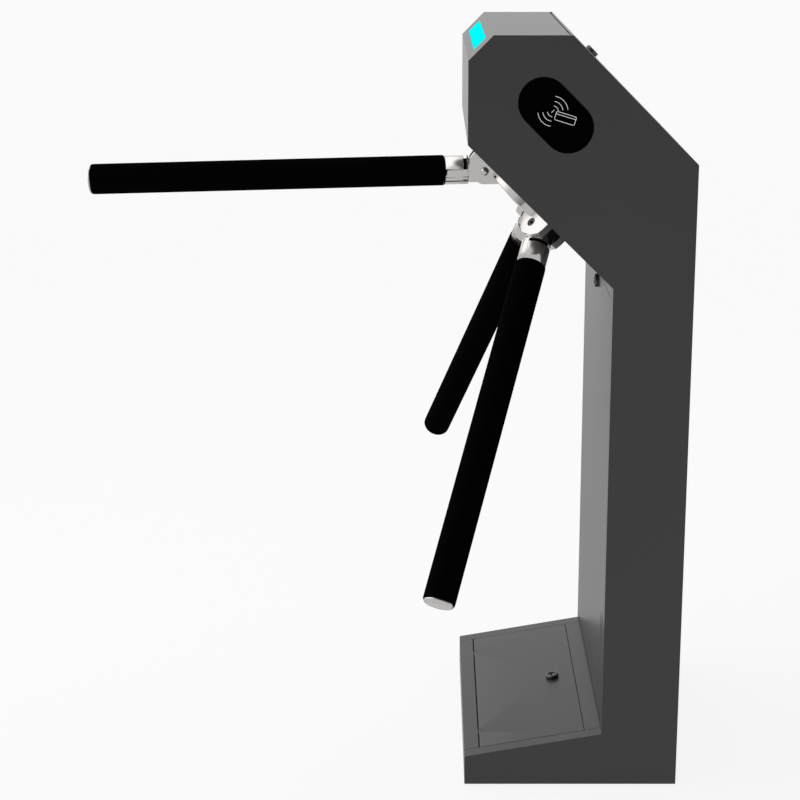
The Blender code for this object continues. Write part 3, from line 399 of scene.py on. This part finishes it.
def rounded(outline, radii, steps):
    """The closed outline with each corner replaced by an arc of its own radius."""
    points = [Vector(p) for p in outline]
    result = []
    for i, (corner, r) in enumerate(zip(points, radii)):
        before = points[i - 1]
        after = points[(i + 1) % len(points)]
        if r <= 0:
            result.append(tuple(corner))
            continue
        to_before = (before - corner).normalized()
        to_after = (after - corner).normalized()
        half = acos(max(-1.0, min(1.0, to_before.dot(to_after)))) / 2
        reach = r * cos(half) / sin(half)
        centre = corner + (to_before + to_after).normalized() * (r / sin(half))
        start = corner + to_before * reach - centre
        end = corner + to_after * reach - centre
        for step in range(steps + 1):
            t = step / steps
            arm = start * (1 - t) + end * t
            result.append(tuple(centre + arm.normalized() * r))
    return result


def turned(name, profile, place, sides=ROUND):
    """A solid turned round local Z from a closed (radius, height) profile."""
    built = bmesh.new()
    corners = [built.verts.new((radius, 0, height)) for radius, height in profile]
    edges = []
    for a, b in zip(corners, corners[1:] + corners[:1]):
        if a.co.x > WELD or b.co.x > WELD:
            edges.append(built.edges.new((a, b)))
    bmesh.ops.spin(
        built, geom=corners + edges, cent=(0, 0, 0), axis=(0, 0, 1), angle=2 * pi, steps=sides)
    bmesh.ops.remove_doubles(built, verts=built.verts, dist=WELD)
    bmesh.ops.dissolve_degenerate(built, dist=WELD / 2, edges=built.edges)
    bmesh.ops.recalc_face_normals(built, faces=built.faces)
    obj = new_object(name, built, place)
    obj.data.shade_smooth()
    obj.data.set_sharp_from_angle(angle=radians(40))
    return obj


def prism(name, outline, low, high, place):
    """A flat outline in local XY, drawn from one height to another."""
    built = bmesh.new()
    base = built.faces.new([built.verts.new((x, y, low)) for x, y in outline])
    drawn = bmesh.ops.extrude_face_region(built, geom=[base])
    moved = [item for item in drawn["geom"] if isinstance(item, bmesh.types.BMVert)]
    bmesh.ops.translate(built, verts=moved, vec=(0, 0, high - low))
    bmesh.ops.recalc_face_normals(built, faces=built.faces)
    return new_object(name, built, place)


def arc(centre, radius, start, end, steps):
    """Points on an arc, the angles in degrees."""
    angles = [radians(start + (end - start) * i / steps) for i in range(steps + 1)]
    return [(centre[0] + radius * cos(a), centre[1] + radius * sin(a)) for a in angles]


def rectangle(half_x, half_y):
    return [(-half_x, -half_y), (half_x, -half_y), (half_x, half_y), (-half_x, half_y)]


def ring_circle(radius, sides=MEDIUM):
    return arc((0, 0), radius, 0, 360 - 360 / sides, sides - 1)


def frame_matrix(x, y, z, at):
    """A placing matrix from three unit axes and an origin."""
    turn = Matrix((x, y, z)).transposed().to_4x4()
    return Matrix.Translation(at) @ turn


# ------------------------------------------------------------------ arms


def arm_place(name):
    """The arm's own frame, from its joint and the hub's axis."""
    hub = joint("hub_spin")
    out = Vector(hub["axis"])
    drop = joint(name + "_arm_drop")
    pin = Vector(drop["pos_m"])
    offset = pin - Vector(hub["pos_m"])
    radial = (offset - out * offset.dot(out)).normalized()
    along = cos(ARM_CONE) * out + sin(ARM_CONE) * radial
    across = -Vector(drop["axis"])
    return frame_matrix(across.cross(along), across, along, pin)


def spigot_radius(angle, in_slot, in_grooves):
    """The radius of the spigot's section: round, with side flats, grooves and a slot."""
    side = angle if angle <= 180 else 360 - angle
    radius = SPIGOT_RADIUS
    if FLAT_FROM < side < FLAT_TO:
        radius = min(radius, FLAT_OFFSET / sin(radians(side)))
    if in_slot and side < SLOT_EDGE:
        radius -= SLOT_DEPTH
    if in_grooves:
        for middle, half_width, depth in GROOVES:
            if abs(side - middle) < half_width:
                radius -= depth
    return radius


def sunk(angle, low, high):
    """Whether the face at this angle between two levels lies in the slot or in a deep groove."""
    (_, low_slot, low_grooves, _), (_, high_slot, high_grooves, _) = low, high
    depth = spigot_radius(angle, False, False)
    depth -= spigot_radius(angle, low_slot and high_slot, low_grooves and high_grooves)
    return depth > SHADED_DEPTH


def spigot_angles():
    """Even steps round the spigot, with close pairs where its section steps."""
    sides = {SECTION_STEP * i for i in range(61)}
    for edge in SECTION_EDGES:
        sides |= {edge - SECTION_PAIR, edge + SECTION_PAIR}
    return sorted(sides | {360 - side for side in sides if 0 < side < 180})


def spigot(name, place):
    """The polished collar that joins the tongue to the sleeve, with the tube inside the sleeve."""
    levels = [  # height, in the slot, in the grooves, pulled in by
        (SHOULDER, False, False, SHOULDER_EASE), (SHOULDER + SHOULDER_EASE, False, False, 0),
        (SLOT_START, False, False, 0), (SLOT_START, True, False, 0),
        (SLOT_END, True, False, 0), (SLOT_END, False, False, 0),
        (GROOVE_START, False, False, 0), (GROOVE_START, False, True, 0),
        (SPIGOT_END, False, True, 0),
    ]
    angles = spigot_angles()
    turns = [radians(angle) for angle in angles]
    built = bmesh.new()
    rings = []
    for height, in_slot, in_grooves, inset in levels:
        radii = [spigot_radius(angle, in_slot, in_grooves) - inset for angle in angles]
        rings.append([built.verts.new((r * cos(t), r * sin(t), height)) for r, t in zip(radii, turns)])
    for height in (SPIGOT_END, TUBE_END):
        rings.append([
            built.verts.new((TUBE_RADIUS * cos(t), TUBE_RADIUS * sin(t), height)) for t in turns])
    count = len(angles)
    for level, (low, high) in enumerate(zip(rings, rings[1:])):
        for i in range(count):
            k = (i + 1) % count
            face = built.faces.new((low[i], low[k], high[k], high[i]))
            middle = (angles[i] + (angles[k] if k else 360)) / 2
            # Faces in the slot and deep grooves take the painted groove shade
            if level + 1 < len(levels) and sunk(middle, levels[level], levels[level + 1]):
                face.material_index = 1
    built.faces.new(rings[0][::-1])
    built.faces.new(rings[-1])
    bmesh.ops.remove_doubles(built, verts=built.verts, dist=WELD)
    bmesh.ops.recalc_face_normals(built, faces=built.faces)
    collar = new_object(name, built, place)
    collar.data.materials.append(finishes["stainless"])
    collar.data.materials.append(groove_shade_paint)
    return collar


def arm_rod(arm, place):
    """Tongue, spigot and tube in one piece."""
    rod = spigot(arm + "_arm_rod_finished", place)
    across = Matrix.Rotation(pi / 2, 4, "X")
    outline = arc((0, 0), TONGUE_TIP, 180, 360, 32)
    outline += [(TONGUE_TIP, TONGUE_ROOT), (-TONGUE_TIP, TONGUE_ROOT)]
    tongue = prism("tongue", outline, -TONGUE_HALF, TONGUE_HALF, place @ across)
    ease_edges(tongue, 0.0006, 3)
    boolean(rod, tongue, "UNION")
    hole = ring_circle(PIN_RADIUS + CLEARANCE)
    bore = prism("tongue_bore", hole, -THROUGH, THROUGH, place @ across)
    boolean(rod, bore, "DIFFERENCE")
    rod.data.shade_smooth()
    rod.data.set_sharp_from_angle(angle=radians(28))
    # The faces carrying the painted groove shade, kept through the re-dressing below
    shaded = [face.material_index for face in rod.data.polygons]
    stand_for(rod, arm + "_arm_rod")
    rod.data.materials.append(groove_shade_paint)
    rod.data.polygons.foreach_set("material_index", shaded)
    return rod


def arm_sleeve(arm, place):
    """The sleeve: a tube with soft lips and a slightly hollow pull-in behind each."""
    inner = TUBE_RADIUS + CLEARANCE
    start = SLEEVE_START + CLEARANCE
    end = ARM_END - 0.0030
    body = SLEEVE_RADIUS
    outline = [
        (inner, start), (body - 0.0002, start), (body, start + 0.0040), (body, end - 0.0040),
        (body - 0.0003, end), (inner, end),
    ]
    profile = rounded(outline, [0, 0.0004, 0.004, 0.004, 0.0011, 0], 5)
    return stand_for(turned(arm + "_arm_sleeve_finished", profile, place), arm + "_arm_sleeve")


def arm_cap(arm, place):
    """The plug in the arm's end: a shallow dome with a turned rim."""
    inside = ARM_END - 0.020
    seat = ARM_END - 0.0027
    outline = [
        (0, inside), (CAP_PLUG, inside), (CAP_PLUG, seat), (CAP_FLANGE, seat),
        (CAP_FLANGE, seat + 0.0012), (CAP_FLANGE - 0.0013, ARM_END - 0.0004),
        (CAP_FLANGE - 0.0024, ARM_END - 0.0006), (CAP_FLANGE - 0.0030, ARM_END - 0.0010),
        (0.0110, ARM_END - 0.0003), (0.0055, ARM_END + 0.0001), (0, ARM_END + 0.0002),
    ]
    radii = [0, 0.0008, 0, 0, 0.0005, 0.0005, 0.0003, 0.0004, 0.01, 0.01, 0]
    cap = turned(arm + "_arm_cap_finished", rounded(outline, radii, 3), place)
    return stand_for(cap, arm + "_arm_cap")


def arm_pin(arm, place):
    """The pivot: black socket head in its counterbore, bright shank and domed nut."""
    across = place @ Matrix.Rotation(-pi / 2, 4, "X")
    nut = -CHEEK_OUTER - CLEARANCE
    seat = CHEEK_OUTER - PIN_HEAD_SINK + CLEARANCE
    shank_end = seat - 0.0005
    profile = [
        (0, nut - 0.0048), (0.0022, nut - 0.0046), (0.0041, nut - 0.0036), (0.0052, nut - 0.0022),
        (PIN_HEAD_RADIUS, nut - 0.0009), (PIN_HEAD_RADIUS, nut), (PIN_RADIUS, nut),
        (PIN_RADIUS, shank_end), (0, shank_end),
    ]
    pin = turned(arm + "_arm_pin_finished", profile, across, MEDIUM)
    stand_for(pin, arm + "_arm_pin")
    top = seat + 0.0040
    outline = [(0, seat), (PIN_HEAD_RADIUS, seat), (PIN_HEAD_RADIUS, top), (0, top)]
    head = turned(arm + "_arm_pin_head", rounded(outline, [0, 0.0002, 0.0006, 0], 3), across, MEDIUM)
    socket = prism("socket", ring_circle(PIN_SOCKET, 6), seat + 0.0009, 0.04, across)
    boolean(head, socket, "DIFFERENCE")
    head.data.set_sharp_from_angle(angle=radians(30))
    return adopt(head, arm + "_arm_pin", finishes["dark_nickel"])


# ----------------------------------------------------------------- locks


def lock(node):
    """A cam lock: rounded head, recessed key plug with its keyway, threaded barrel and cam."""
    turn = joint(node + "_turn")
    out = -Vector(turn["axis"])
    width_way = Vector((0, 1, 0))
    place = frame_matrix(width_way, out.cross(width_way), out, Vector(turn["pos_m"]))
    top = LOCK_HEAD_HEIGHT
    recess = top - LOCK_PLUG_SINK
    outline = [
        (0, -LOCK_DEPTH), (LOCK_BARREL_RADIUS - 0.0008, -LOCK_DEPTH),
        (LOCK_BARREL_RADIUS, -LOCK_DEPTH + 0.0008),
        (LOCK_BARREL_RADIUS, CLEARANCE), (LOCK_HEAD_RADIUS, CLEARANCE), (LOCK_HEAD_RADIUS, top),
        (LOCK_PLUG_RADIUS + 0.0006, top), (LOCK_PLUG_RADIUS + 0.0003, recess - 0.0006),
        (LOCK_PLUG_RADIUS, recess - 0.0006), (LOCK_PLUG_RADIUS, recess), (0, recess),
    ]
    radii = [0, 0, 0, 0, 0.0003, 0.0014, 0.0004, 0, 0, 0.0003, 0]
    body = turned(node + "_finished", rounded(outline, radii, 4), place, MEDIUM)
    boolean(body, lock_cam(place, node), "UNION")
    keyway = prism("keyway", rectangle(*KEYWAY), recess - KEYWAY_DEPTH, recess + 0.01, place)
    boolean(body, keyway, "DIFFERENCE")
    body.data.shade_smooth()
    body.data.set_sharp_from_angle(angle=radians(35))
    return stand_for(body, node, finishes["dark_nickel"])


def lock_cam(place, node):
    """The cam under the barrel, as long as the CAD cam reaches from the lock's axis."""
    low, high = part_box(node)
    at = place.translation
    reach = max(abs(high.y - at.y), abs(low.y - at.y)) - LOCK_CAM_TIP
    side = 1 if high.y - at.y > at.y - low.y else -1
    outline = arc((0, 0), LOCK_CAM_HUB, 90, 270, 20) + arc((reach, 0), LOCK_CAM_TIP, -90, 90, 14)
    if side < 0:
        outline = [(-x, y) for x, y in outline][::-1]
    bottom = -LOCK_DEPTH - LOCK_CAM / 6
    cam = prism(node + "_cam", outline, bottom, bottom + LOCK_CAM, place)
    ease_edges(cam, 0.0003, 2)
    return cam


# ------------------------------------------------------------ card readers


def stroke(name, points, width, height, place, closed):
    """A thin raised line along points in local XY."""
    path = [Vector(p) for p in points]
    count = len(path)
    left, right = [], []
    for i, point in enumerate(path):
        before = path[i - 1] if i or closed else point
        after = path[(i + 1) % count] if i < count - 1 or closed else point
        way = (after - before).normalized()
        side = Vector((-way.y, way.x)) * width / 2
        left.append(point + side)
        right.append(point - side)
    built = bmesh.new()
    levels = []
    for level in (0, height):
        levels.append([
            [built.verts.new((p.x, p.y, level)) for p in line] for line in (left, right)])
    (low_left, low_right), (high_left, high_right) = levels
    last = count if closed else count - 1
    for i in range(last):
        k = (i + 1) % count
        built.faces.new((high_right[i], high_right[k], high_left[k], high_left[i]))
        built.faces.new((low_left[i], low_left[k], low_right[k], low_right[i]))
        built.faces.new((high_left[i], high_left[k], low_left[k], low_left[i]))
        built.faces.new((low_right[i], low_right[k], high_right[k], high_right[i]))
    if not closed:
        built.faces.new((low_left[0], low_right[0], high_right[0], high_left[0]))
        built.faces.new((low_right[-1], low_left[-1], high_left[-1], high_right[-1]))
    bmesh.ops.recalc_face_normals(built, faces=built.faces)
    return new_object(name, built, place)


def symbol(side):
    """A plain contactless sign on a reader window: waves to both sides of a bar, and a card."""
    name = side + "_reader"
    low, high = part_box(name + "_window")
    facing = -1 if side == "near" else 1
    surface = low.y if side == "near" else high.y
    across = Vector((-facing, 0, 0))
    middle = Vector(((low.x + high.x) / 2, surface + facing * 0.00002, (low.z + high.z) / 2))
    place = frame_matrix(across, Vector((0, 0, 1)), across.cross(Vector((0, 0, 1))), middle)
    lines = []
    for radius in WAVE_RADII:
        for turn in WAVE_MIDDLES:
            lines.append((arc(WAVES_AT, radius, turn - WAVE_SPREAD, turn + WAVE_SPREAD, 24), False))
    bar = Vector((BAR_REACH, BAR_REACH))
    lines.append(([Vector(WAVES_AT) - bar, Vector(WAVES_AT) + bar], False))
    tilt = Matrix.Rotation(CARD_TILT, 2)
    half = Vector(CARD_SIZE) / 2
    edge = rounded(rectangle(half.x, half.y), [CARD_CORNER] * 4, 4)
    stripe = [(-half.x, half.y * CARD_STRIPE), (half.x, half.y * CARD_STRIPE)]
    for points, closed in ((edge, True), (stripe, False)):
        lines.append(([tilt @ Vector(p) + Vector(CARD_AT) for p in points], closed))
    strokes = [
        stroke(f"{name}_line_{number}", points, SYMBOL_LINE, SYMBOL_HEIGHT, place, closed)
        for number, (points, closed) in enumerate(lines)
    ]
    return joined(strokes, name + "_symbol")


def joined(objects, name):
    built = bmesh.new()
    for obj in objects:
        built.from_mesh(obj.data)
        bpy.data.objects.remove(obj)
    return new_object(name, built)


# --------------------------------------------------------------- assembly


def refine_housing():
    """The sheet metal, with the small radii of laser-cut and folded sheet."""
    for node in ("near_side_panel", "far_side_panel"):
        refined(node, 0.0005)
    for node in ("head_shell", "hub_face_plate", "back_panel", "foot_front_rail",
                 "foot_rear_strip", "slope_cover", "column_door", "foot_lid"):
        refined(node, 0.0004)
    for side in ("near", "far"):
        refined(side + "_reader_window", 0.0003)
        # The sign's white print carries a painted glow
        adopt(symbol(side), side + "_reader_window", glowing_symbol_paint)
    refined("lamp_window", 0.0002)


def refine_inside():
    """Everything behind the covers with its edges eased; the finest nodes only get their finish."""
    widths = {
        "base_plate": 0.0004, "mechanism_frame": 0.0005, "power_supply": 0.0008,
        "cable_gland": 0.0004, "hub_shaft": 0.0003, "lock_wheel": 0.0003, "index_cam": 0.0003,
        "drive_gear": 0.00015, "front_bearing": 0.0003, "rear_bearing": 0.0003,
        "lock_pawl": 0.0003, "lock_plunger": 0.0003, "detent_arm": 0.0003,
        "damper_pinion": 0.00012, "encoder_disc": 0.0002, "encoder_sensor": 0.0004,
        "rotary_damper": 0.0005, "lock_solenoid": 0.0008,
    }
    for number in range(1, 5):
        widths[f"anchor_bolt_{number}"] = 0.0004
    for node, width in widths.items():
        refined(node, width)
    for node, obj in frame["nodes"].items():
        if not obj.hide_render:
            obj.data.materials.clear()
            obj.data.materials.append(finishes[slot_of(node)])


def studio():
    """A white floor under a bright sky, and a soft light from the arms' side."""
    built = bmesh.new()
    bmesh.ops.create_grid(built, x_segments=1, y_segments=1, size=FLOOR_SIZE)
    floor = new_object("studio_floor", built, Matrix.Translation((0, 0, -FLOOR_BELOW)))
    floor.data.materials.append(floor_paper())
    key = bpy.data.lights.new("key", "AREA")
    key.size = KEY_SIZE
    key.energy = KEY_WATTS
    light = bpy.data.objects.new("key", key)
    bpy.context.scene.collection.objects.link(light)
    light.location = KEY_AT
    aim = Vector(KEY_AIM) - light.location
    light.rotation_euler = aim.to_track_quat("-Z", "Y").to_euler()
    light.visible_camera = False
    light.visible_glossy = False
    sky()


def floor_paper():
    """White paper lit from below. The camera sees it even; it lights the object more from behind."""
    paper = Paint("floor_paper", (0.12, 0.12, 0.12), 0.9, ior=1.1)
    paper.set("Emission Color", (1, 1, 1, 1))
    place = paper.nodes.new("ShaderNodeTexCoord")
    split = paper.nodes.new("ShaderNodeSeparateXYZ")
    depth = paper.nodes.new("ShaderNodeMapRange")
    depth.interpolation_type = "SMOOTHSTEP"
    for end, (y, glow_there) in (("Min", FLOOR_FRONT), ("Max", FLOOR_BACK)):
        depth.inputs["From " + end].default_value = y
        depth.inputs["To " + end].default_value = glow_there
    path = paper.nodes.new("ShaderNodeLightPath")
    glow = paper.nodes.new("ShaderNodeMix")
    glow.inputs["B"].default_value = FLOOR_SEEN
    paper.links.new(place.outputs["Object"], split.inputs["Vector"])
    paper.links.new(split.outputs["Y"], depth.inputs["Value"])
    paper.links.new(depth.outputs["Result"], glow.inputs["A"])
    paper.links.new(path.outputs["Is Camera Ray"], glow.inputs["Factor"])
    paper.links.new(glow.outputs["Result"], paper.shader.inputs["Emission Strength"])
    return paper.material


def sky():
    """A white sky: bright over the arms' side and at the back, dark in front and to the right."""
    world = bpy.data.worlds.new("room")
    bpy.context.scene.world = world
    world.use_nodes = True
    nodes = world.node_tree.nodes
    links = world.node_tree.links
    background = nodes["Background"]
    background.inputs["Color"].default_value = (1, 1, 1, 1)
    place = nodes.new("ShaderNodeTexCoord")

    def lobe(direction, start, end, low, high):
        """Fades from low to high as the cosine to a direction goes from start to end."""
        towards = nodes.new("ShaderNodeVectorMath")
        towards.operation = "DOT_PRODUCT"
        towards.inputs[1].default_value = Vector(direction).normalized()
        fade = nodes.new("ShaderNodeMapRange")
        fade.interpolation_type = "SMOOTHSTEP"
        for socket, value in zip(("From Min", "From Max", "To Min", "To Max"), (start, end, low, high)):
            fade.inputs[socket].default_value = value
        links.new(place.outputs["Generated"], towards.inputs[0])
        links.new(towards.outputs["Value"], fade.inputs["Value"])
        return fade.outputs["Result"]

    light = lobe((-0.75, 0.28, 0.60), 0.55, 0.95, 0.74, 1.50)
    for shade in (
        lobe((0.62, -0.78, 0.10), 0.30, 0.85, 1.0, 0.13),
        lobe((0.00, -0.40, 0.91), 0.66, 0.94, 1.0, 0.22),
        lobe((0.12, 0.99, 0.06), 0.90, 0.99, 1.0, 1.36),
    ):
        product = nodes.new("ShaderNodeMath")
        product.operation = "MULTIPLY"
        links.new(light, product.inputs[0])
        links.new(shade, product.inputs[1])
        light = product.outputs["Value"]
    links.new(light, background.inputs["Strength"])


def camera():
    """The photograph's viewing angle: level with the head and looking a little down."""
    lens = bpy.data.cameras.new("camera")
    lens.sensor_width = 36.0
    lens.lens = EYE_LENS
    lens.shift_x, lens.shift_y = EYE_SHIFT
    eye = bpy.data.objects.new("camera", lens)
    bpy.context.scene.collection.objects.link(eye)
    eye.location = EYE_AT
    eye.rotation_euler = (pi / 2 + EYE_PITCH, 0, 0)
    bpy.context.scene.camera = eye


finishes = make_finishes()
glowing_symbol_paint = symbol_white()
groove_shade_paint = groove_shade()

camera()
studio()
bpy.context.scene.view_settings.view_transform = "Standard"

refine_housing()
refined("hub_head", 0.0009, 3)
for arm in ARMS:
    place = arm_place(arm)
    arm_rod(arm, place)
    arm_sleeve(arm, place)
    arm_cap(arm, place)
    arm_pin(arm, place)
for lock_node in ("slope_cover_lock", "column_door_lock", "foot_lid_lock"):
    lock(lock_node)
refine_inside()
